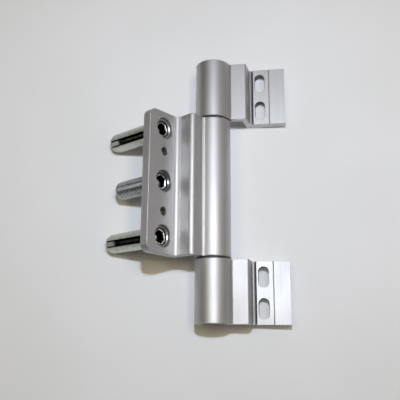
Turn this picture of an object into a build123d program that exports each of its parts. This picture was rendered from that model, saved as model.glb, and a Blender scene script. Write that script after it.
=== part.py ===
from build123d import *
from math import cos, radians, sin, sqrt
import os

os.makedirs("parts", exist_ok=True)

# Three-leaf barrel hinge for an aluminium door, millimetres.
# The hinge pin lies along Z and the origin is the middle of the pin. The frame leaves lie
# in the XZ plane, to the right of the pin, with their fixing face turned to +Y.
# The door leaf is between them and swings about Z; zero is the pose in the photograph.

# Driving sizes, barrel and pin
barrel_radius = 11.0
bore_radius = 8.0
pin_radius = 6.0
frame_leaf_length = 38.0
door_leaf_length = 87.0
barrel_gap = 1.0
end_chamfer = 0.35

# Fits
running_fit = 0.05
press_fit = 0.02
thrust_play = 0.05
screw_fit = 0.02

# Frame leaf section, x to the right of the pin and h towards the front
frame_reach = 45.6
frame_platform_h = 1.6
frame_platform_reach = 21.4
frame_platform_wall = 4.2
frame_platform_round = 1.3
frame_web_foot = 22.9
frame_web_wall = 3.3
frame_plate_front = -9.0
frame_plate_wall = 5.5
groove_x = 24.5
groove_depth = 0.75
line_groove_x = 35.5
line_groove_depth = 0.3

# Slots of the frame leaf
frame_slot_x = 29.5
frame_slot_width = 6.5
frame_slot_margin = 3.2
frame_slot_bridge = 6.4

# Door leaf section, u away from the pin and w along the front normal
open_angle = 58.0
door_strip_front = 1.5
door_strip_wall = 4.2
door_step_u = 21.1
door_step_wall = 4.8
door_plate_front = -11.3
door_plate_wall = 5.3
door_reach = 44.6
ridge_round = 3.0
plate_corner_round = 5.0

# Fixing holes of the door leaf
hole_u = 32.0
hole_margin = 10.3
counterbore_depth = 3.6
side_hole_radius = 2.6
side_hole_offset = 14.7

# Anchors: depths are measured from the front face of the door plate, lengths behind its back
sleeve_radius = 6.2
sleeve_clearance = 0.1
sleeve_wall = 1.0
sleeve_length = 39.9
land_step = 0.2
land_length = 2.6
tip_bevel = 1.2
tip_bevel_length = 3.0
tip_wall = 0.6
collar_step = 0.3
collar_depth = 1.5
rim_chamfer = 0.5
slit_width = 4.4
slit_setback = 1.7
upper_slit_turn = 23.0
lower_slit_turn = 12.0
cone_length = 6.5
cone_lead = 1.0
nut_recess = 0.3
lug_length = 7.2
lug_width = 2.6
lug_recess = 0.15

# Screws of the anchors and the support stud
screw_radius = 3.0
screw_clearance = 0.3
screw_end_gap = 0.5
head_depth = 2.5
head_height = 5.0
head_clearance = 0.2
head_round = 0.5
hex_across_flats = 7.0
hex_depth = 3.4
hex_chamfer = 0.3

# Support stud
stud_radius = 5.75
stud_length = 33.8
stud_nose_round = 3.8
stud_shoulder = 2.5
stud_screw_length = 19.0
stud_hole_spare = 3.0
stud_hex_depth = 2.8

# Bushes, caps and grub screws
bush_length = 26.0
flange_inset = 0.4
cap_height = 4.0
cap_chamfer = 0.5
pin_end_gap = 0.5
pin_chamfer = 1.0
grub_radius = 3.0
grub_recess = 0.6
grub_height = 19.0
grub_hex = 3.0
grub_hex_depth = 2.2
grub_angle = 135.0

# Sizes that follow
door_half = door_leaf_length / 2
frame_bottom = door_half + barrel_gap
frame_top = frame_bottom + frame_leaf_length
frame_middle = (frame_bottom + frame_top) / 2
frame_slot_length = (frame_leaf_length - frame_slot_bridge) / 2 - frame_slot_margin
frame_slot_pitch = frame_slot_length + frame_slot_bridge
hole_pitch = door_half - hole_margin
side_hole_pitch = hole_pitch - side_hole_offset
pin_half = frame_top - cap_height - pin_end_gap
frame_plate_back = frame_plate_front - frame_plate_wall
door_plate_back = door_plate_front - door_plate_wall
collar_radius = sleeve_radius + collar_step
counterbore_radius = collar_radius + sleeve_clearance
recess_radius = sleeve_radius - sleeve_wall
body_radius = sleeve_radius - land_step
land_end = door_plate_wall + land_length
head_radius = recess_radius - head_clearance
shank_bore = screw_radius + screw_clearance
seat_depth = head_depth + head_height
sleeve_end = door_plate_wall + sleeve_length
tip_radius = body_radius - tip_bevel
mouth_radius = tip_radius - tip_wall
cone_start = sleeve_end - cone_length
cone_slope = (mouth_radius - shank_bore) / cone_length
nut_start = cone_start + cone_lead
nut_end = sleeve_end - nut_recess
screw_end = nut_end - screw_end_gap
slit_start = door_plate_wall + slit_setback + slit_width / 2
stud_step = door_plate_wall + stud_shoulder
stud_tip = door_plate_wall + stud_length
stud_screw_end = seat_depth + stud_screw_length
stud_hole_end = stud_screw_end + stud_hole_spare

# Directions of the door leaf
swing = radians(open_angle)
leaf_u = Vector(-cos(swing), -sin(swing), 0)
leaf_w = Vector(sin(swing), -cos(swing), 0)

# Planes: sections of the leaves, and the faces that the holes go into
frame_section = Plane(origin=(0, 0, frame_top), x_dir=(1, 0, 0), z_dir=(0, 0, -1))
door_section = Plane(origin=(0, 0, -door_half), x_dir=leaf_u, z_dir=(0, 0, 1))
frame_face = Plane(
    origin=(frame_slot_x, -frame_plate_front, frame_middle), x_dir=(0, 0, 1), z_dir=(0, -1, 0)
)
hole_centre = leaf_u * hole_u + leaf_w * door_plate_front
door_face = Plane(origin=hole_centre, x_dir=(0, 0, 1), z_dir=leaf_w)

# Seats of the anchors: x points out through the slit, which is turned down from the leaf
upper_turn = radians(upper_slit_turn)
lower_turn = radians(lower_slit_turn)
upper_seat = Plane(
    origin=hole_centre + Vector(0, 0, hole_pitch),
    x_dir=leaf_u * cos(upper_turn) - Vector(0, 0, sin(upper_turn)),
    z_dir=leaf_w,
)
lower_seat = Plane(
    origin=hole_centre - Vector(0, 0, hole_pitch),
    x_dir=leaf_u * cos(lower_turn) - Vector(0, 0, sin(lower_turn)),
    z_dir=leaf_w,
)
grub_line = Vector(cos(radians(grub_angle)), sin(radians(grub_angle)), 0)
grub_plane = Plane(origin=(0, 0, frame_bottom + grub_height), x_dir=(0, 0, 1), z_dir=grub_line)


def barrel_rims(leaf):
    """Arcs of the barrel at the two ends of a leaf."""
    arcs = leaf.edges().filter_by(GeomType.CIRCLE)
    return arcs.filter_by(lambda e: abs(e.radius - barrel_radius) < 0.01 and e.length > barrel_radius)


# Frame leaf: barrel, platform, slanted web and slotted plate in one section.
# The channel between the barrel and the web is open to the back.
web_slope = (frame_web_foot - frame_platform_reach) / (frame_platform_h - frame_plate_front)
channel_top = frame_platform_h - frame_platform_wall
channel_near = frame_platform_reach + web_slope * frame_platform_wall - frame_web_wall
channel_mouth = frame_web_foot + web_slope * frame_plate_wall - frame_web_wall
with BuildPart() as upper_leaf:
    with BuildSketch(frame_section) as frame_profile:
        with BuildLine():
            Polyline(
                (0, frame_platform_h),
                (frame_platform_reach, frame_platform_h),
                (frame_web_foot, frame_plate_front),
                (frame_reach, frame_plate_front),
                (frame_reach, frame_plate_back),
                (channel_mouth, frame_plate_back),
                (channel_near, channel_top),
                (0, channel_top),
                close=True,
            )
        make_face()
        Circle(barrel_radius)
        frame_corners = frame_profile.vertices()
        platform_corner = frame_corners.sort_by_distance((frame_platform_reach, frame_platform_h))[0]
        fillet(platform_corner, frame_platform_round)
        Circle(bore_radius, mode=Mode.SUBTRACT)
        with Locations((groove_x, frame_plate_front)):
            Rectangle(sqrt(2) * groove_depth, sqrt(2) * groove_depth, rotation=45, mode=Mode.SUBTRACT)
        with Locations((line_groove_x, frame_plate_front)):
            Rectangle(
                sqrt(2) * line_groove_depth, sqrt(2) * line_groove_depth, rotation=45, mode=Mode.SUBTRACT
            )
    extrude(amount=frame_leaf_length)
    with BuildSketch(frame_face):
        with GridLocations(frame_slot_pitch, 0, 2, 1):
            SlotOverall(frame_slot_length, frame_slot_width)
    extrude(amount=-2 * frame_plate_wall, mode=Mode.SUBTRACT)
    with BuildSketch(grub_plane):
        Circle(grub_radius)
    extrude(amount=2 * barrel_radius, mode=Mode.SUBTRACT)
    chamfer(barrel_rims(upper_leaf), end_chamfer)
upper_leaf.part.label = "upper_leaf"
export_step(upper_leaf.part, "parts/upper_leaf.step")

with BuildPart() as lower_leaf:
    mirror(upper_leaf.part, about=Plane.XY)
lower_leaf.part.label = "lower_leaf"
export_step(lower_leaf.part, "parts/lower_leaf.step")

# Pin, full height between the two end caps
with BuildPart() as hinge_pin:
    with BuildSketch(Plane.XY.offset(-pin_half)):
        Circle(pin_radius)
    extrude(amount=2 * pin_half)
    chamfer(hinge_pin.edges().filter_by(GeomType.CIRCLE), pin_chamfer)
hinge_pin.part.label = "hinge_pin"
export_step(hinge_pin.part, "parts/hinge_pin.step")

# Liner of the outer barrel, with a window for the grub screw
with BuildPart() as upper_leaf_bush:
    with BuildSketch(Plane.XY.offset(frame_bottom)):
        Circle(bore_radius - press_fit)
        Circle(pin_radius + press_fit, mode=Mode.SUBTRACT)
    extrude(amount=frame_leaf_length - cap_height - pin_end_gap)
    with BuildSketch(grub_plane):
        Circle(grub_radius + head_clearance)
    extrude(amount=barrel_radius, mode=Mode.SUBTRACT)
upper_leaf_bush.part.label = "upper_leaf_bush"
export_step(upper_leaf_bush.part, "parts/upper_leaf_bush.step")

with BuildPart() as lower_leaf_bush:
    mirror(upper_leaf_bush.part, about=Plane.XY)
lower_leaf_bush.part.label = "lower_leaf_bush"
export_step(lower_leaf_bush.part, "parts/lower_leaf_bush.step")

# Plug that closes the barrel flush with its end
with BuildPart() as upper_end_cap:
    with BuildSketch(Plane.XY.offset(frame_top - cap_height)):
        Circle(bore_radius - press_fit)
    extrude(amount=cap_height)
    chamfer(upper_end_cap.edges().group_by(Axis.Z)[-1], cap_chamfer)
upper_end_cap.part.label = "upper_end_cap"
export_step(upper_end_cap.part, "parts/upper_end_cap.step")

with BuildPart() as lower_end_cap:
    mirror(upper_end_cap.part, about=Plane.XY)
lower_end_cap.part.label = "lower_end_cap"
export_step(lower_end_cap.part, "parts/lower_end_cap.step")

# Grub screw from the barrel wall down to the pin
grub_top = barrel_radius - grub_recess
grub_foot = pin_radius + screw_fit
with BuildPart() as upper_grub_screw:
    with BuildSketch(grub_plane.offset(grub_foot)):
        Circle(grub_radius - screw_fit)
    extrude(amount=grub_top - grub_foot)
    with BuildSketch(grub_plane.offset(grub_top)):
        RegularPolygon(grub_hex / 2, 6, major_radius=False)
    extrude(amount=-grub_hex_depth, mode=Mode.SUBTRACT)
upper_grub_screw.part.label = "upper_grub_screw"
export_step(upper_grub_screw.part, "parts/upper_grub_screw.step")

with BuildPart() as lower_grub_screw:
    mirror(upper_grub_screw.part, about=Plane.XY)
lower_grub_screw.part.label = "lower_grub_screw"
export_step(lower_grub_screw.part, "parts/lower_grub_screw.step")

# Door leaf: barrel, strip, right-angled step and plate in one section
step_inner = door_step_u - door_step_wall
with BuildPart() as middle_leaf:
    with BuildSketch(door_section) as door_profile:
        with BuildLine():
            Polyline(
                (0, door_strip_front),
                (door_step_u, door_strip_front),
                (door_step_u, door_plate_front),
                (door_reach, door_plate_front),
                (door_reach, door_plate_back),
                (step_inner, door_plate_back),
                (step_inner, door_strip_front - door_strip_wall),
                (0, door_strip_front - door_strip_wall),
                close=True,
            )
        make_face()
        Circle(barrel_radius)
        door_corners = door_profile.vertices()
        fillet(door_corners.sort_by_distance((door_step_u, door_strip_front))[0], ridge_round)
        Circle(bore_radius, mode=Mode.SUBTRACT)
    extrude(amount=door_leaf_length)
    corner_edges = middle_leaf.edges().filter_by(Axis((0, 0, 0), leaf_w))
    corner_edges = corner_edges.filter_by(lambda e: (e @ 0.5).dot(leaf_u) > door_reach - 0.1)
    fillet(corner_edges, plate_corner_round)
    with BuildSketch(door_face):
        with GridLocations(hole_pitch, 0, 3, 1):
            Circle(counterbore_radius)
    extrude(amount=-counterbore_depth, mode=Mode.SUBTRACT)
    with BuildSketch(door_face):
        with GridLocations(hole_pitch, 0, 3, 1):
            Circle(sleeve_radius + sleeve_clearance)
        with GridLocations(2 * side_hole_pitch, 0, 2, 1):
            Circle(side_hole_radius)
    extrude(amount=-2 * door_plate_wall, mode=Mode.SUBTRACT)
    chamfer(barrel_rims(middle_leaf), end_chamfer)
middle_leaf.part.label = "middle_leaf"
export_step(middle_leaf.part, "parts/middle_leaf.step")

# Bearing bush of the door leaf: its flange fills the gap between two barrels
with BuildPart() as upper_bearing_bush:
    with BuildSketch(Plane.XY.offset(door_half)):
        Circle(barrel_radius - flange_inset)
    extrude(amount=barrel_gap - thrust_play)
    with BuildSketch(Plane.XY.offset(door_half)):
        Circle(bore_radius - press_fit)
    extrude(amount=-bush_length)
    with BuildSketch(Plane.XY.offset(door_half + barrel_gap)):
        Circle(pin_radius + running_fit)
    extrude(amount=-bush_length - 2 * barrel_gap, mode=Mode.SUBTRACT)
upper_bearing_bush.part.label = "upper_bearing_bush"
export_step(upper_bearing_bush.part, "parts/upper_bearing_bush.step")

with BuildPart() as lower_bearing_bush:
    mirror(upper_bearing_bush.part, about=Plane.XY)
lower_bearing_bush.part.label = "lower_bearing_bush"
export_step(lower_bearing_bush.part, "parts/lower_bearing_bush.step")

# Anchor sleeve, along its own Z with the plate's front face at zero: collar in the
# counterbore, recess for the screw head, bore that widens to a cone at the far end, and a
# slit through both sides up to the tip, so that the two halves can spread.
with BuildPart() as anchor_sleeve:
    with BuildSketch(Plane.XZ):
        with BuildLine():
            Polyline(
                (recess_radius, -collar_depth - rim_chamfer),
                (recess_radius + rim_chamfer, -collar_depth),
                (collar_radius, -collar_depth),
                (collar_radius, -counterbore_depth),
                (sleeve_radius, -counterbore_depth),
                (sleeve_radius, -land_end),
                (body_radius, -land_end),
                (body_radius, tip_bevel_length - sleeve_end),
                (tip_radius, -sleeve_end),
                (mouth_radius, -sleeve_end),
                (shank_bore, -cone_start),
                (shank_bore, -seat_depth),
                (recess_radius, -seat_depth),
                close=True,
            )
        make_face()
    revolve(axis=Axis.Z)
    with BuildSketch(Plane.YZ.offset(-2 * sleeve_radius)):
        with Locations((0, -slit_start)):
            Circle(slit_width / 2)
        with Locations((0, -(slit_start + 2 * sleeve_end) / 2)):
            Rectangle(slit_width, 2 * sleeve_end - slit_start)
    extrude(amount=4 * sleeve_radius, mode=Mode.SUBTRACT)

with BuildPart(upper_seat) as upper_anchor_sleeve:
    add(anchor_sleeve.part)
upper_anchor_sleeve.part.label = "upper_anchor_sleeve"
export_step(upper_anchor_sleeve.part, "parts/upper_anchor_sleeve.step")

with BuildPart(lower_seat) as lower_anchor_sleeve:
    add(anchor_sleeve.part)
lower_anchor_sleeve.part.label = "lower_anchor_sleeve"
export_step(lower_anchor_sleeve.part, "parts/lower_anchor_sleeve.step")

# Cone nut: cone inside the mouth of the sleeve, and a bar across it whose two ends stand in
# the slit as lugs and keep the nut from turning.
with BuildPart() as cone_nut:
    with BuildSketch(Plane.XZ):
        with BuildLine():
            Polyline(
                (0, -nut_start),
                (shank_bore + cone_slope * cone_lead - screw_fit, -nut_start),
                (shank_bore + cone_slope * (cone_length - nut_recess) - screw_fit, -nut_end),
                (0, -nut_end),
                close=True,
            )
        make_face()
    revolve(axis=Axis.Z)
    with BuildSketch(Plane.YZ.offset(lug_recess - tip_radius)):
        with Locations((0, lug_length / 2 - nut_end)):
            Rectangle(lug_width, lug_length)
    extrude(amount=2 * (tip_radius - lug_recess))
    with BuildSketch():
        Circle(screw_radius + screw_fit)
    extrude(amount=-2 * nut_end, mode=Mode.SUBTRACT)

with BuildPart(upper_seat) as upper_cone_nut:
    add(cone_nut.part)
upper_cone_nut.part.label = "upper_cone_nut"
export_step(upper_cone_nut.part, "parts/upper_cone_nut.step")

with BuildPart(lower_seat) as lower_cone_nut:
    add(cone_nut.part)
lower_cone_nut.part.label = "lower_cone_nut"
export_step(lower_cone_nut.part, "parts/lower_cone_nut.step")

# Clamp screw: head in the recess of the sleeve, shank through to the cone nut
with BuildPart() as clamp_screw:
    with BuildSketch(Plane.XY.offset(-seat_depth)):
        Circle(head_radius)
    extrude(amount=head_height)
    fillet(clamp_screw.edges().group_by(Axis.Z)[-1], head_round)
    with BuildSketch(Plane.XY.offset(-seat_depth)):
        Circle(screw_radius)
    extrude(amount=seat_depth - screw_end)
    with BuildSketch(Plane.XY.offset(-head_depth)):
        RegularPolygon(hex_across_flats / 2, 6, major_radius=False, rotation=30)
    extrude(amount=-hex_depth, mode=Mode.SUBTRACT)
    chamfer(clamp_screw.edges().group_by(Axis.Z)[-1].filter_by(GeomType.LINE), hex_chamfer)

with BuildPart(upper_seat) as upper_clamp_screw:
    add(clamp_screw.part)
upper_clamp_screw.part.label = "upper_clamp_screw"
export_step(upper_clamp_screw.part, "parts/upper_clamp_screw.step")

with BuildPart(lower_seat) as lower_clamp_screw:
    add(clamp_screw.part)
lower_clamp_screw.part.label = "lower_clamp_screw"
export_step(lower_clamp_screw.part, "parts/lower_clamp_screw.step")

# Support stud: same front end as the sleeves, then a solid shank with a rounded nose
with BuildPart() as stud:
    with BuildSketch(Plane.XZ):
        with BuildLine():
            Polyline(
                (recess_radius, -collar_depth - rim_chamfer),
                (recess_radius + rim_chamfer, -collar_depth),
                (collar_radius, -collar_depth),
                (collar_radius, -counterbore_depth),
                (sleeve_radius, -counterbore_depth),
                (sleeve_radius, -stud_step),
                (stud_radius, -stud_step),
                (stud_radius, -stud_tip),
                (0, -stud_tip),
                (0, -stud_hole_end),
                (screw_radius + screw_fit, -stud_hole_end),
                (screw_radius + screw_fit, -seat_depth),
                (recess_radius, -seat_depth),
                close=True,
            )
        make_face()
    revolve(axis=Axis.Z)
    fillet(stud.edges().group_by(Axis.Z)[0], stud_nose_round)

with BuildPart(door_face) as support_stud:
    add(stud.part)
support_stud.part.label = "support_stud"
export_step(support_stud.part, "parts/support_stud.step")

with BuildPart() as stud_screw:
    with BuildSketch(Plane.XY.offset(-seat_depth)):
        Circle(head_radius)
    extrude(amount=head_height)
    fillet(stud_screw.edges().group_by(Axis.Z)[-1], head_round)
    with BuildSketch(Plane.XY.offset(-seat_depth)):
        Circle(screw_radius)
    extrude(amount=seat_depth - stud_screw_end)
    with BuildSketch(Plane.XY.offset(-head_depth)):
        RegularPolygon(hex_across_flats / 2, 6, major_radius=False)
    extrude(amount=-stud_hex_depth, mode=Mode.SUBTRACT)
    chamfer(stud_screw.edges().group_by(Axis.Z)[-1].filter_by(GeomType.LINE), hex_chamfer)

with BuildPart(door_face) as support_screw:
    add(stud_screw.part)
support_screw.part.label = "support_screw"
export_step(support_screw.part, "parts/support_screw.step")
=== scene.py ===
import math
import bmesh
import bpy
from mathutils import Euler, Matrix, Vector


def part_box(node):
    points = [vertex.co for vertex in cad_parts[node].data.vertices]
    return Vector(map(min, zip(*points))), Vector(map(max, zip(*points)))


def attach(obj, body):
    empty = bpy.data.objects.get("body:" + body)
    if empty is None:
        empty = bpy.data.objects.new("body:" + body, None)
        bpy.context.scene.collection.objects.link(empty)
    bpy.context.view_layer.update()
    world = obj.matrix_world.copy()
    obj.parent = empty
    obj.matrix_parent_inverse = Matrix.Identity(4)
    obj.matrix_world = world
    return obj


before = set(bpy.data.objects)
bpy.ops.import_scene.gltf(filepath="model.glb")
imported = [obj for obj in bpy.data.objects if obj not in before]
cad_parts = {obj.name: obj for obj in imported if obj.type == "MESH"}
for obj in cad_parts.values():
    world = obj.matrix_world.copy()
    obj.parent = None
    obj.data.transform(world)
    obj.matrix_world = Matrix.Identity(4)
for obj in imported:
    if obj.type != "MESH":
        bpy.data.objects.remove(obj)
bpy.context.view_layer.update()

mm = 0.001
shelterRays = 12            # rays that test how hemmed in a point is
noiseSpan = (0.3, 0.7)      # most of a noise's values lie between these
print("hinge loaded:", len(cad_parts), "pieces from CAD")

scene = bpy.context.scene
scene.view_settings.view_transform = "Standard"


def toLinear(hexColour):
    # sRGB hex, as a paint chart gives it, to the linear values that shaders take
    values = [int(hexColour[i:i + 2], 16) / 255 for i in (1, 3, 5)]
    return [v / 12.92 if v <= 0.04045 else ((v + 0.055) / 1.055) ** 2.4 for v in values] + [1.0]


def addNode(tree, kind, inputs=None, **settings):
    # one node: its settings, then each input as a value or as the socket that feeds it
    node = tree.nodes.new(kind)
    for name, value in settings.items():
        setattr(node, name, value)
    for name, value in (inputs or {}).items():
        if isinstance(value, bpy.types.NodeSocket):
            tree.links.new(value, node.inputs[name])
        else:
            node.inputs[name].default_value = value
    return node


def addObject(name, data):
    thing = bpy.data.objects.new(name, data)
    scene.collection.objects.link(thing)
    return thing


def newMaterial(name):
    material = bpy.data.materials.new(name)
    material.use_nodes = True
    material.node_tree.nodes.clear()
    return material, material.node_tree


def stretchedNoise(tree, place, acrossMm, alongMm, detail):
    # noise with one grain size across the bar and another along it (Z)
    grain = addNode(tree, "ShaderNodeMapping", {
        "Vector": place.outputs["Object"],
        "Scale": (1 / (acrossMm * mm), 1 / (acrossMm * mm), 1 / (alongMm * mm)),
    })
    noise = addNode(tree, "ShaderNodeTexNoise", {
        "Vector": grain.outputs["Vector"], "Scale": 1.0, "Detail": detail, "Roughness": 0.55,
    })
    return noise.outputs["Fac"]


def paintRecessShade(tree, clean, finish):
    # painted shade in slits, sockets and corners: the colour goes to the dark shade colour where the surface
    # is hemmed in
    shelter = addNode(tree, "ShaderNodeAmbientOcclusion", {
        "Distance": finish["recessMm"] * mm,
    }, samples=shelterRays)
    openness = addNode(tree, "ShaderNodeMapRange", {
        "Value": shelter.outputs["AO"], "From Min": finish["darkBelow"], "From Max": finish["unshadedAbove"],
    })
    # painted shade: the hemmed-in parts take the dark colour
    colour = addNode(tree, "ShaderNodeMix", {
        0: openness.outputs["Result"], 6: toLinear(finish["recess"]), 7: clean,
    }, data_type="RGBA")
    return colour.outputs[2], openness.outputs["Result"]


def ramp(tree, source, stops, colours):
    # hex colours, one at each of those values of a noise, blended in between
    node = addNode(tree, "ShaderNodeValToRGB", {"Fac": source})
    elements = node.color_ramp.elements
    while len(elements) < len(stops):
        elements.new(0.5)
    for element, stop, colour in zip(elements, stops, colours):
        element.position = stop
        element.color = toLinear(colour)
    return node.outputs["Color"]


def between(tree, source, first, last):
    # goes from one value to the other as the noise rises
    node = addNode(tree, "ShaderNodeMapRange", {
        "Value": source, "From Min": noiseSpan[0], "From Max": noiseSpan[1],
        "To Min": first, "To Max": last,
    })
    return node.outputs["Result"]


def softEdge(tree, finish):
    # normals that run round a sharp edge, as if it were broken
    bevel = addNode(tree, "ShaderNodeBevel", {"Radius": finish["edgeMm"] * mm}, samples=finish["edgeRays"])
    return bevel.outputs["Normal"]


def relief(tree, height, strength, depthMm, **under):
    # a bump on the skin, over another one where that is given as Normal
    bump = addNode(tree, "ShaderNodeBump", {
        "Strength": strength, "Distance": depthMm * mm, "Height": height, **under,
    })
    return bump.outputs["Normal"]


def addShader(tree, inputs):
    shader = addNode(tree, "ShaderNodeBsdfPrincipled", inputs)
    addNode(tree, "ShaderNodeOutputMaterial", {"Surface": shader.outputs["BSDF"]})


anodised = {
    "name": "anodisedAluminiumExtruded",
    "pale": "#CAC9C9",
    "dull": "#BDBCBB",
    "toneStops": (0.3, 0.7),    # noise values that are wholly dull and wholly pale
    "dieLineMm": 0.9,       # real die lines are about 0.2 mm apart: drawn coarser so that they show
    "dieLineLengthMm": 120,
    "bloomMm": 14,
    "bloomShare": 0.35,     # of the tone; the die lines give the rest
    "speckleMm": 0.35,
    "lineBump": 0.1,
    "lineDepthMm": 0.03,
    "etchBump": 0.2,
    "etchDepthMm": 0.01,
    "roughLow": 0.50,
    "roughHigh": 0.58,
    "recess": "#24211E",    # painted shade in corners, channels and holes
    "recessMm": 8.0,
    "darkBelow": 0.4,       # openness below which the painted shade covers the metal
    "unshadedAbove": 0.74,     # openness from which the metal has no painted shade
    "edgeMm": 0.4,          # radius to which sharp edges are shaded round
    "edgeRays": 6,
    "slotted": True,
}
roundEdged = {
    **anodised,             # the door leaf: rounder free edges, less painted shade in its corners, and no slots
    "name": "anodisedAluminiumRoundEdged",
    "unshadedAbove": 0.54,
    "edgeMm": 0.9,
    "slotted": False,
}
slots = {
    "x": 29.5,              # zone that holds the two slots of a frame leaf, in mm
    "halfWidth": 3.5,
    "z": 63.5,
    "halfReach": 16.2,
    "square": 0.35,         # how far a wall may lean and still count as cut square to the plate
    # painted shade on the slot walls
    "wallShade": "#5A5753",
}


def paintSlotWallShade(tree, place, colour):
    # painted shade: the walls of the slots are coloured darker than the etched skin
    spot = addNode(tree, "ShaderNodeSeparateXYZ", {"Vector": place.outputs["Object"]}).outputs
    facing = addNode(tree, "ShaderNodeSeparateXYZ", {"Vector": place.outputs["Normal"]}).outputs
    height = addNode(tree, "ShaderNodeMath", {0: spot["Z"]}, operation="ABSOLUTE").outputs[0]
    inside = 1.0
    for value, target, spread in (
        (spot["X"], slots["x"] * mm, slots["halfWidth"] * mm),
        (height, slots["z"] * mm, slots["halfReach"] * mm),
        (facing["Y"], 0.0, slots["square"]),
    ):
        near = addNode(tree, "ShaderNodeMath", {0: value, 1: target, 2: spread}, operation="COMPARE")
        both = addNode(tree, "ShaderNodeMath", {0: inside, 1: near.outputs[0]}, operation="MULTIPLY")
        inside = both.outputs[0]
    walls = addNode(tree, "ShaderNodeMix", {
        0: inside, 6: colour, 7: toLinear(slots["wallShade"]),
    }, data_type="RGBA")
    return walls.outputs[2]


def makeAnodised(finish):
    # anodised aluminium, extruded and satin etched: soft broad gloss with fine lines along the bar
    material, tree = newMaterial(finish["name"])
    place = addNode(tree, "ShaderNodeTexCoord")
    lines = stretchedNoise(tree, place, finish["dieLineMm"], finish["dieLineLengthMm"], detail=3)
    bloom = stretchedNoise(tree, place, finish["bloomMm"], finish["bloomMm"] * 2, detail=2)
    speckle = stretchedNoise(tree, place, finish["speckleMm"], finish["speckleMm"], detail=1)
    tone = addNode(tree, "ShaderNodeMix", {
        0: finish["bloomShare"], 2: lines, 3: bloom,
    }, data_type="FLOAT")
    colour = ramp(tree, tone.outputs[0], finish["toneStops"], (finish["dull"], finish["pale"]))
    # painted shade in the hollows; the metallic goes down with it there
    shadePainted, openness = paintRecessShade(tree, colour, finish)
    # painted shade on the slot walls of the frame leaves
    if finish["slotted"]:
        shadePainted = paintSlotWallShade(tree, place, shadePainted)
    lined = relief(tree, lines, finish["lineBump"], finish["lineDepthMm"], Normal=softEdge(tree, finish))
    etched = relief(tree, speckle, finish["etchBump"], finish["etchDepthMm"], Normal=lined)
    addShader(tree, {
        "Base Color": shadePainted, "Metallic": openness, "Normal": etched,
        "Roughness": between(tree, bloom, finish["roughLow"], finish["roughHigh"]),
    })
    return material


dullZinc = {
    "name": "zincPlatedSteelDull",
    "pale": "#D8DBD2",
    "mid": "#C8CCC2",
    "dark": "#B5B9AD",
    "toneStops": (0.32, 0.5, 0.68),
    "recess": "#2B2A25",    # painted shade in slits, corners and holes
    "spangleMm": 3.2,
    "grainMm": 0.45,
    "grainBump": 0.35,
    "grainDepthMm": 0.03,
    "roughLow": 0.34,
    "roughHigh": 0.48,
    "recessMm": 3.0,
    "darkBelow": 0.5,
    "unshadedAbove": 0.84,
    "edgeMm": 0.2,
    "edgeRays": 4,
}
turnedZinc = {
    **dullZinc,
    "name": "zincPlatedSteelTurned",
    "pale": "#B9BEBE",
    "mid": "#979C9B",
    "dark": "#787D7C",
    "spangleMm": 0.9,
    "grainBump": 0.25,
    "roughLow": 0.24,
    "roughHigh": 0.34,
}


def makeZinc(zinc):
    # zinc-plated steel: greenish grey patches and a grainy skin when left dull, and a darker, tighter
    # gloss with finer patches when turned
    material, tree = newMaterial(zinc["name"])
    place = addNode(tree, "ShaderNodeTexCoord")
    patch = stretchedNoise(tree, place, zinc["spangleMm"], zinc["spangleMm"], detail=4)
    grain = stretchedNoise(tree, place, zinc["grainMm"], zinc["grainMm"], detail=2)
    colour = ramp(tree, patch, zinc["toneStops"], (zinc["dark"], zinc["mid"], zinc["pale"]))
    # painted shade in the hollows; the metallic goes down with it there
    zincShadePainted, openness = paintRecessShade(tree, colour, zinc)
    skin = relief(tree, grain, zinc["grainBump"], zinc["grainDepthMm"], Normal=softEdge(tree, zinc))
    addShader(tree, {
        "Base Color": zincShadePainted, "Metallic": openness, "Normal": skin,
        "Roughness": between(tree, patch, zinc["roughLow"], zinc["roughHigh"]),
    })
    return material


screwSteel = {
    "pale": "#DCDCD8",
    "dull": "#B4B3AD",
    "toneStops": (0.35, 0.6),
    "recess": "#12110F",    # painted shade, and black oil from the cold forming, in the sockets and on the shank in the slits
    "recessMm": 4.0,
    "darkBelow": 0.7,
    "unshadedAbove": 0.93,
    "rubMm": 1.1,
    "roughLow": 0.16,
    "roughHigh": 0.3,
}


def makeScrewSteel():
    # bright-plated steel, cold formed: sharp small highlights, slightly rubbed
    material, tree = newMaterial("brightPlatedSteel")
    place = addNode(tree, "ShaderNodeTexCoord")
    rub = stretchedNoise(tree, place, screwSteel["rubMm"], screwSteel["rubMm"], detail=3)
    colour = ramp(tree, rub, screwSteel["toneStops"], (screwSteel["dull"], screwSteel["pale"]))
    # painted shade, with black oil, where the steel is hemmed in
    oilAndShade = paintRecessShade(tree, colour, screwSteel)[0]
    addShader(tree, {
        "Base Color": oilAndShade, "Metallic": 1.0,
        "Roughness": between(tree, rub, screwSteel["roughHigh"], screwSteel["roughLow"]),
    })
    return material


pinSteel = {
    "pale": "#C6C6C8",
    "dull": "#ABABAE",
    "toneStops": (0.35, 0.65),
    "grindMm": 0.25,
    "grindRoundMm": 40,     # how far a ring runs round the pin before it changes
    "grindBump": 0.2,
    "grindDepthMm": 0.01,
    "rough": 0.22,
}


def makePinSteel():
    # ground steel rod: fine rings round the pin from the grinding wheel
    material, tree = newMaterial("groundSteelRod")
    place = addNode(tree, "ShaderNodeTexCoord")
    rings = stretchedNoise(tree, place, pinSteel["grindRoundMm"], pinSteel["grindMm"], detail=2)
    addShader(tree, {
        "Base Color": ramp(tree, rings, pinSteel["toneStops"], (pinSteel["dull"], pinSteel["pale"])),
        "Metallic": 1.0, "Roughness": pinSteel["rough"],
        "Normal": relief(tree, rings, pinSteel["grindBump"], pinSteel["grindDepthMm"]),
    })
    return material


acetal = {
    "dark": "#232322",
    "pale": "#343432",
    "toneStops": (0.35, 0.65),
    "grainMm": 0.3,
    "grainBump": 0.3,
    "grainDepthMm": 0.02,
    "rough": 0.5,
    "ior": 1.48,
}


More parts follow.
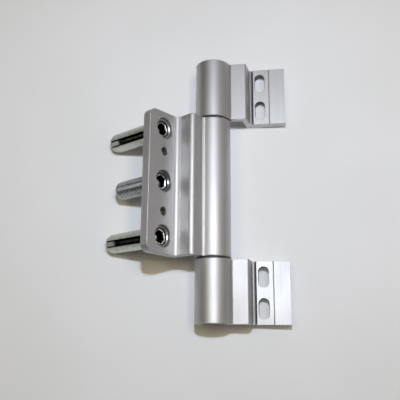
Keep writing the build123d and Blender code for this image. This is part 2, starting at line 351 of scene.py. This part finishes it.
def makeAcetal():
    # acetal bush, turned or moulded: near black with a waxy, slightly grainy sheen
    material, tree = newMaterial("mouldedBlackAcetal")
    place = addNode(tree, "ShaderNodeTexCoord")
    grain = stretchedNoise(tree, place, acetal["grainMm"], acetal["grainMm"], detail=2)
    addShader(tree, {
        "Base Color": ramp(tree, grain, acetal["toneStops"], (acetal["dark"], acetal["pale"])),
        "Roughness": acetal["rough"], "IOR": acetal["ior"],
        "Normal": relief(tree, grain, acetal["grainBump"], acetal["grainDepthMm"]),
    })
    return material


finishes = {
    "anodised_aluminium": makeAnodised(anodised),
    "galvanised_steel": makeZinc(dullZinc),
    "bright_steel": makeScrewSteel(),
    "pin_steel": makePinSteel(),
    "dark_plastic": makeAcetal(),
}

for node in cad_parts.values():
    for slot in node.material_slots:
        slot.material = finishes[slot.material.name.split(".")[0]]
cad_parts["middle_leaf"].material_slots[0].material = makeAnodised(roundEdged)
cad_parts["support_stud"].material_slots[0].material = makeZinc(turnedZinc)
print("finishes on:", ", ".join(sorted(finishes)))


# The door leaf stands at 58 degrees in the rest pose: u runs out along its plate, w is its front normal.
doorLeaf = {
    "openAngle": 58.0,
    "plateFront": -11.3,    # w of the plate's front face, mm
    "stripFront": 1.5,      # w of the strip beside the barrel
    "stepU": 21.1,
    "holeU": 32.0,
    "holeHeights": {"upper": 33.2, "lower": -33.2},
}
swing = math.radians(doorLeaf["openAngle"])
leafU = Vector((-math.cos(swing), -math.sin(swing), 0))
leafW = Vector((math.sin(swing), -math.cos(swing), 0))
frameU = Vector((1, 0, 0))      # the same two directions on the frame leaves
frameW = Vector((0, -1, 0))

# Rounded inside corners of the extrusions: the die leaves a radius along each of them, which catches
# the lamp as a bright line. Outlines are in u and w, in mm.
corner = {
    "valleyRadius": 3.2,
    "doorRootRadius": 1.6,
    "frameRootRadius": 1.2,
    "barrelRadius": 11.0,
    "platformFront": 1.6,   # w of the frame leaf's platform
    "sunk": 0.05,           # how far a round reaches into the faces it joins, so that no gap shows
    "lap": 0.8,             # how far it runs on under them
    "steps": 14,
    "sharpAbove": 20,       # degrees between two faces, from which their edge shades sharp
}


def arc(centre, radius, first, last):
    # points of a hollow arc, seen from its centre
    turns = [first + (last - first) * i / corner["steps"] for i in range(corner["steps"] + 1)]
    return [(centre[0] + radius * math.cos(turn), centre[1] + radius * math.sin(turn)) for turn in turns]


def squareRound(cornerU, cornerW, radius):
    # between two faces at right angles
    sunk, lap = corner["sunk"], corner["lap"]
    hollow = arc((cornerU + radius, cornerW + radius), radius, -math.pi / 2, -math.pi)
    return hollow + [
        (cornerU - sunk, cornerW + radius + lap), (cornerU - sunk, cornerW - sunk),
        (cornerU + radius + lap, cornerW - sunk),
    ]


def barrelRound(faceW, radius):
    # between a flat face and the barrel that it leaves
    sunk, lap, barrel = corner["sunk"], corner["lap"], corner["barrelRadius"]
    centre = (math.sqrt((barrel + radius) ** 2 - (faceW + radius) ** 2), faceW + radius)
    touch = math.atan2(centre[1], centre[0])
    hollow = arc(centre, radius, -math.pi / 2, touch - math.pi)
    under = touch + lap / barrel
    inner = barrel - sunk
    return hollow + [
        (inner * math.cos(under), inner * math.sin(under)),
        (inner * math.cos(under) - lap, faceW - sunk), (centre[0] + lap, faceW - sunk),
    ]


def makeRound(name, body, u, w, outline, heights):
    # a bar of that outline, laid into the corner
    count = len(outline)
    points = [u * (a * mm) + w * (b * mm) + Vector((0, 0, z)) for z in heights for a, b in outline]
    faces = [tuple(range(count)), tuple(range(2 * count - 1, count - 1, -1))]
    faces += [(i, i + count, (i + 1) % count + count, (i + 1) % count) for i in range(count)]
    mesh = bpy.data.meshes.new(name)
    mesh.from_pydata(points, [], faces)
    shell = bmesh.new()
    shell.from_mesh(mesh)
    bmesh.ops.recalc_face_normals(shell, faces=shell.faces)
    for face in shell.faces:
        face.smooth = len(face.verts) == 4
    for edge in shell.edges:
        edge.smooth = edge.calc_face_angle(0) < math.radians(corner["sharpAbove"])
    shell.to_mesh(mesh)
    shell.free()
    mesh.materials.append(finishes["anodised_aluminium"])
    piece = addObject(name, mesh)
    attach(piece, body)
    print("corner rounded:", name)


def heightsOf(node):
    low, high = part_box(node)
    return low[2], high[2]


valley = squareRound(doorLeaf["stepU"], doorLeaf["plateFront"], corner["valleyRadius"])
stripRoot = barrelRound(doorLeaf["stripFront"], corner["doorRootRadius"])
platformRoot = barrelRound(corner["platformFront"], corner["frameRootRadius"])
makeRound("valleyRound", "door_side", leafU, leafW, valley, heightsOf("middle_leaf"))
makeRound("stripRootRound", "door_side", leafU, leafW, stripRoot, heightsOf("middle_leaf"))
for side in ("upper", "lower"):
    heights = heightsOf(side + "_leaf")
    makeRound(side + "PlatformRootRound", "frame_side", frameU, frameW, platformRoot, heights)


# Threads of the clamp screws, seen through the slits of the anchor sleeves.
thread = {
    "pitch": 1.0,
    "firstDepth": 7.8,      # measured from the plate's front face, mm
    "lastDepth": 37.4,      # just short of the cone nut's lug
    "coreRadius": 2.88,     # the ridge is sunk into the plain shank
    "ridge": 0.35,
    "pointsPerTurn": 28,
    "flanks": 3,            # sides of the ridge's section
}


def threadTree():
    tree = bpy.data.node_groups.new("screwThread", "GeometryNodeTree")
    face = tree.interface
    face.new_socket("Geometry", in_out="OUTPUT", socket_type="NodeSocketGeometry")
    for name in ("Pitch", "Length", "Core Radius", "Ridge"):
        face.new_socket(name, in_out="INPUT", socket_type="NodeSocketFloat")
    face.new_socket("Finish", in_out="INPUT", socket_type="NodeSocketMaterial")
    given = addNode(tree, "NodeGroupInput").outputs
    turns = addNode(tree, "ShaderNodeMath", {
        0: given["Length"], 1: given["Pitch"],
    }, operation="DIVIDE")
    helix = addNode(tree, "GeometryNodeCurveSpiral", {
        "Resolution": thread["pointsPerTurn"], "Rotations": turns.outputs[0],
        "Start Radius": given["Core Radius"], "End Radius": given["Core Radius"],
        "Height": given["Length"],
    })
    upright = addNode(tree, "GeometryNodeSetCurveNormal", {
        "Curve": helix.outputs["Curve"],
    }, mode="Z_UP")
    flank = addNode(tree, "GeometryNodeCurvePrimitiveCircle", {
        "Resolution": thread["flanks"], "Radius": given["Ridge"],
    }, mode="RADIUS")
    ridge = addNode(tree, "GeometryNodeCurveToMesh", {
        "Curve": upright.outputs["Curve"], "Profile Curve": flank.outputs["Curve"], "Fill Caps": True,
    })
    solid = addNode(tree, "GeometryNodeRealizeInstances", {"Geometry": ridge.outputs["Mesh"]})
    painted = addNode(tree, "GeometryNodeSetMaterial", {
        "Geometry": solid.outputs["Geometry"], "Material": given["Finish"],
    })
    addNode(tree, "NodeGroupOutput", {"Geometry": painted.outputs["Geometry"]})
    return tree


def runTree(name, tree, values):
    # evaluates a geometry tree on an empty mesh and keeps the result as a plain mesh
    carrier = addObject(name + "Carrier", bpy.data.meshes.new(name + "Carrier"))
    modifier = carrier.modifiers.new("build", "NODES")
    modifier.node_group = tree
    for item in tree.interface.items_tree:
        if item.in_out == "INPUT" and item.name in values:
            modifier[item.identifier] = values[item.name]
    bpy.context.view_layer.update()
    built = carrier.evaluated_get(bpy.context.evaluated_depsgraph_get())
    mesh = bpy.data.meshes.new_from_object(built)
    carrier.modifiers.remove(modifier)
    bpy.data.objects.remove(carrier)
    return addObject(name, mesh)


threads = threadTree()
for side, height in doorLeaf["holeHeights"].items():
    piece = runTree(side + "ScrewThread", threads, {
        "Pitch": thread["pitch"] * mm,
        "Length": (thread["lastDepth"] - thread["firstDepth"]) * mm,
        "Core Radius": thread["coreRadius"] * mm,
        "Ridge": thread["ridge"] * mm,
        "Finish": finishes["bright_steel"],
    })
    # the helix climbs along its own Z: turn that onto the screw axis, pointing into the leaf
    start = leafU * doorLeaf["holeU"] + leafW * (doorLeaf["plateFront"] - thread["firstDepth"])
    start.z = height
    turn = (-leafW).to_track_quat("Z", "Y").to_matrix().to_4x4()
    piece.data.transform(Matrix.Translation(start * mm) @ turn)
    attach(piece, "door_side")
    print("thread made:", piece.name, len(piece.data.polygons), "faces")


# Table under the hinge. It lies behind it in the photograph's view, touching the stud tips on
# the left and the back of the slotted plates on the right.
table = {
    "leftTouch": (-62.3, 7.1),      # x, y in mm
    "rightTouch": (19.0, 14.9),
    "reach": 1500,
    "colour": "#F5F5F4",
    "stain": "#F1F1EF",
    "toneStops": (0.35, 0.65),
    "cloudMm": 90,
}


def makeTableTop():
    # pale laminate, matt: even light grey with a faint cloudiness
    material, tree = newMaterial("paleMattLaminate")
    place = addNode(tree, "ShaderNodeTexCoord")
    cloud = stretchedNoise(tree, place, table["cloudMm"], table["cloudMm"], detail=2)
    colour = ramp(tree, cloud, table["toneStops"], (table["stain"], table["colour"]))
    matt = addNode(tree, "ShaderNodeBsdfDiffuse", {"Color": colour})
    clear = addNode(tree, "ShaderNodeBsdfTransparent")
    side = addNode(tree, "ShaderNodeNewGeometry")
    # seen from behind, the table is left out, so that the back of the hinge shows
    oneSided = addNode(tree, "ShaderNodeMixShader", {
        0: side.outputs["Backfacing"], 1: matt.outputs["BSDF"], 2: clear.outputs["BSDF"],
    })
    addNode(tree, "ShaderNodeOutputMaterial", {"Surface": oneSided.outputs["Shader"]})
    return material


left = Vector((*table["leftTouch"], 0)) * mm
right = Vector((*table["rightTouch"], 0)) * mm
along = (right - left).normalized() * table["reach"] * mm
up = Vector((0, 0, table["reach"] * mm))
middle = (left + right) / 2
tableMesh = bpy.data.meshes.new("table")
tableMesh.from_pydata(
    [middle - along - up, middle + along - up, middle + along + up, middle - along + up], [], [(0, 1, 2, 3)],
)
tableMesh.materials.append(makeTableTop())
tableTop = addObject("table", tableMesh)
tableTop.visible_shadow = False     # lamps behind it light the back of the hinge
print("table in place")


# Studio: a pale room. Round the front of the hinge stands a tent of brown felt, as a product
# photographer hangs round shiny metal, with a small cool lamp above the camera that casts the crisp
# shadows. Two warm panels beside it fill them, and paler ones light the sides, the top and the back.
room = {"colour": "#D2D2D1", "strength": 1.0}
world = bpy.data.worlds.new("paleRoom")
world.use_nodes = True
world.node_tree.nodes.clear()
air = addNode(world.node_tree, "ShaderNodeBackground", {
    "Color": toLinear(room["colour"]), "Strength": room["strength"],
})
addNode(world.node_tree, "ShaderNodeOutputWorld", {"Surface": air.outputs["Background"]})
scene.world = world


def direction(azimuth, elevation):
    # azimuth 0 looks from the front (-Y), turning towards +X; elevation is towards +Z
    a, e = math.radians(azimuth), math.radians(elevation)
    return Vector((math.sin(a) * math.cos(e), -math.cos(a) * math.cos(e), math.sin(e)))


panels = {
    "key": {"azimuth": 8.6, "elevation": 6.6, "distance": 446, "width": 26, "height": 26,
            "level": 560, "colour": "#DCE8FF"},
    "frontLeft": {"azimuth": -14, "elevation": 3, "distance": 900, "width": 330, "height": 300,
                  "level": 3.6, "colour": "#FFF1BE"},
    "frontRight": {"azimuth": 30, "elevation": 3, "distance": 900, "width": 330, "height": 300,
                   "level": 11.5, "colour": "#FFF0D5"},
    "left": {"azimuth": -76, "elevation": 6, "distance": 400, "width": 60, "height": 170,
             "level": 1.9, "colour": "#F4F8FF"},
    "right": {"azimuth": 60, "elevation": 8, "distance": 420, "width": 220, "height": 400,
              "level": 0.56, "colour": "#FFFBF7"},
    "ceiling": {"azimuth": 5, "elevation": 58, "distance": 900, "width": 900, "height": 500,
                "level": 0.36, "colour": "#EEE9FF"},
    "behind": {"azimuth": 176, "elevation": 18, "distance": 900, "width": 700, "height": 700,
               "level": 2.0, "colour": "#FAFBFF"},
}
for name, panel in panels.items():
    width, height = panel["width"] * mm, panel["height"] * mm
    light = bpy.data.lights.new(name + "Panel", "AREA")
    light.shape = "RECTANGLE"
    light.size = width
    light.size_y = height
    light.energy = panel["level"] * math.pi * width * height    # level 1 looks white in a mirror
    light.color = toLinear(panel["colour"])[:3]
    lamp = addObject(name + "Panel", light)
    lamp.location = direction(panel["azimuth"], panel["elevation"]) * panel["distance"] * mm
    lamp.rotation_euler = lamp.location.to_track_quat("Z", "Y").to_euler()
    lamp.visible_camera = False

# walls of the tent, in mm; the camera sees through them
tent = {
    "left": -420,
    "right": 420,
    "front": -1150,
    "leftBack": -10,
    "rightBack": 30,
    "top": 800,
    "bottom": -800,
    "felt": "#54483D",
}
feltMaterial, feltTree = newMaterial("brownFelt")
felt = addNode(feltTree, "ShaderNodeBsdfDiffuse", {"Color": toLinear(tent["felt"])})
addNode(feltTree, "ShaderNodeOutputMaterial", {"Surface": felt.outputs["BSDF"]})
corners = [
    (tent[side], y, tent[level])
    for level in ("bottom", "top")
    for side, y in (
        ("left", tent["front"]), ("right", tent["front"]),
        ("right", tent["rightBack"]), ("left", tent["leftBack"]),
    )
]
walls = {
    "leftFlag": (0, 3, 7, 4), "rightFlag": (1, 2, 6, 5), "frontFlag": (0, 1, 5, 4),
    "topFlag": (4, 5, 6, 7), "bottomFlag": (0, 1, 2, 3),
}
for name, wall in walls.items():
    mesh = bpy.data.meshes.new(name)
    mesh.from_pydata([Vector(corners[i]) * mm for i in wall], [], [(0, 1, 2, 3)])
    mesh.materials.append(feltMaterial)
    card = addObject(name, mesh)
    card.visible_camera = False
print("lamps on:", ", ".join(panels))


# Camera of the photograph: close and slightly from below, worked out from the hinge's corners
view = {
    "place": (47.0, -345.5, -96.7),     # mm
    "turn": (104.378, -0.317, 8.996),   # degrees
    "lens": 52.505,
    "sensor": 36,
    "nearest": 0.01,                    # m
    "farthest": 20,
}
lens = bpy.data.cameras.new("photographView")
lens.sensor_width = view["sensor"]
lens.lens = view["lens"]
lens.clip_start = view["nearest"]
lens.clip_end = view["farthest"]
camera = addObject("photographView", lens)
camera.location = Vector(view["place"]) * mm
camera.rotation_euler = Euler([math.radians(t) for t in view["turn"]])
scene.camera = camera
print("camera set")
